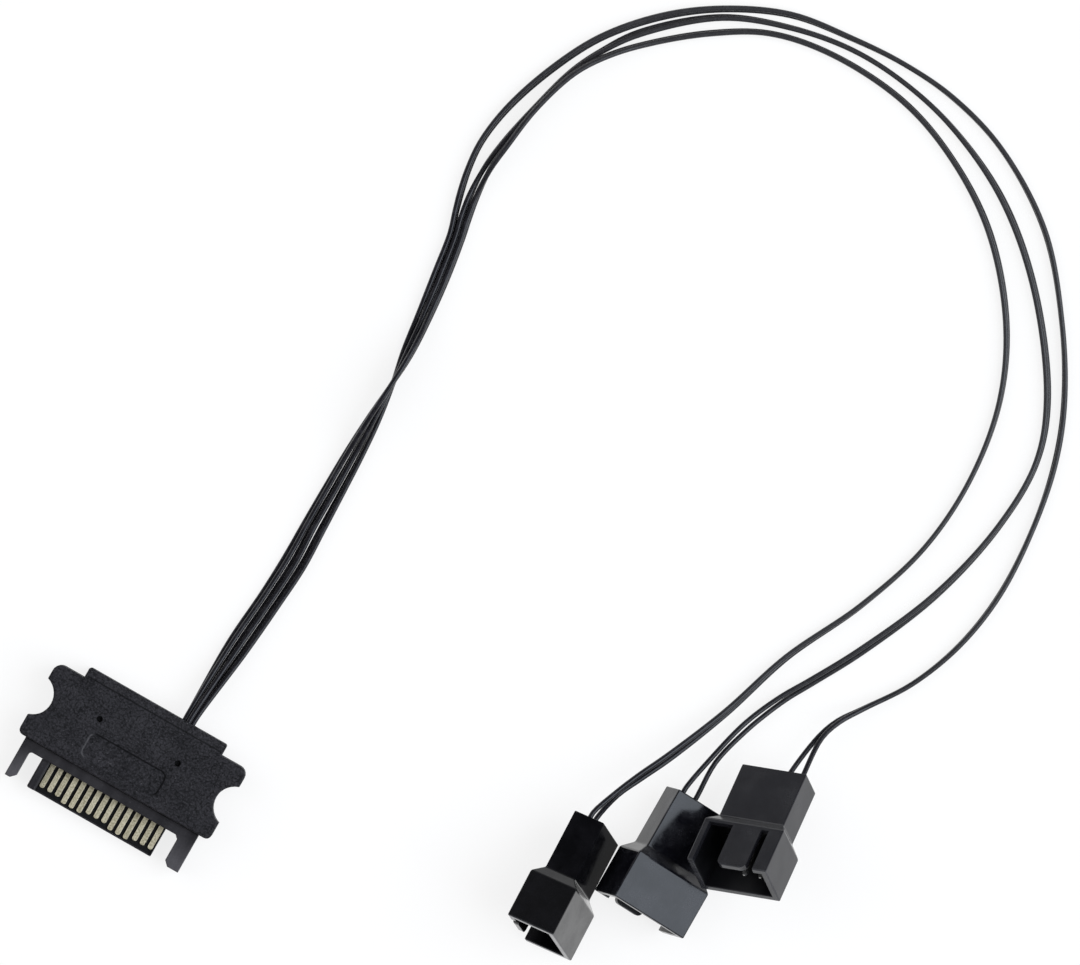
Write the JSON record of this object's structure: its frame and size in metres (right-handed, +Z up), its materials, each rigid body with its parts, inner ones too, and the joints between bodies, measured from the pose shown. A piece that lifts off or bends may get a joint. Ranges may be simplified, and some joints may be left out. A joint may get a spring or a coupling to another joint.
{
  "type": "fan cable",
  "caption": "Fan power cable: a flat power plug with a keyed contact tongue feeds thin two-wire leads, each ending in a four-way shrouded fan plug.",
  "frame": {"origin": "centre of the power plug's underside, where it lies on the surface", "axes": "+X along the power plug's width, +Y from the contact tongue towards the wires, +Z up, out of the face that carries the contacts"},
  "size_m": [0.1126, 0.1522, 0.0206],
  "materials": {
    "textured_plastic": "matte, finely grained charcoal",
    "moulded_plastic": "satin charcoal",
    "contact_metal": "pale gold plating",
    "wire_insulation": "black, softly shining",
    "gloss_plastic": "polished black",
    "pin_metal": "tinned"
  },
  "bodies": {
    "root": {"plug_base": "textured_plastic", "plug_cover": "textured_plastic", "contact_carrier": "moulded_plastic", "contact_01": "contact_metal", "contact_02": "contact_metal", "contact_03": "contact_metal", "contact_04": "contact_metal", "contact_05": "contact_metal", "contact_06": "contact_metal", "contact_07": "contact_metal", "contact_08": "contact_metal", "contact_09": "contact_metal", "contact_10": "contact_metal", "contact_11": "contact_metal", "contact_12": "contact_metal", "contact_13": "contact_metal", "contact_14": "contact_metal", "contact_15": "contact_metal", "ground_wire_1": "wire_insulation", "supply_wire_1": "wire_insulation", "ground_wire_2": "wire_insulation", "supply_wire_2": "wire_insulation", "ground_wire_3": "wire_insulation", "supply_wire_3": "wire_insulation", "fan_housing_1": "gloss_plastic", "fan_housing_2": "gloss_plastic", "fan_housing_3": "gloss_plastic", "fan_1_pin_1": "pin_metal", "fan_1_pin_2": "pin_metal", "fan_2_pin_1": "pin_metal", "fan_2_pin_2": "pin_metal", "fan_3_pin_1": "pin_metal", "fan_3_pin_2": "pin_metal"}
  },
  "joints": []
}
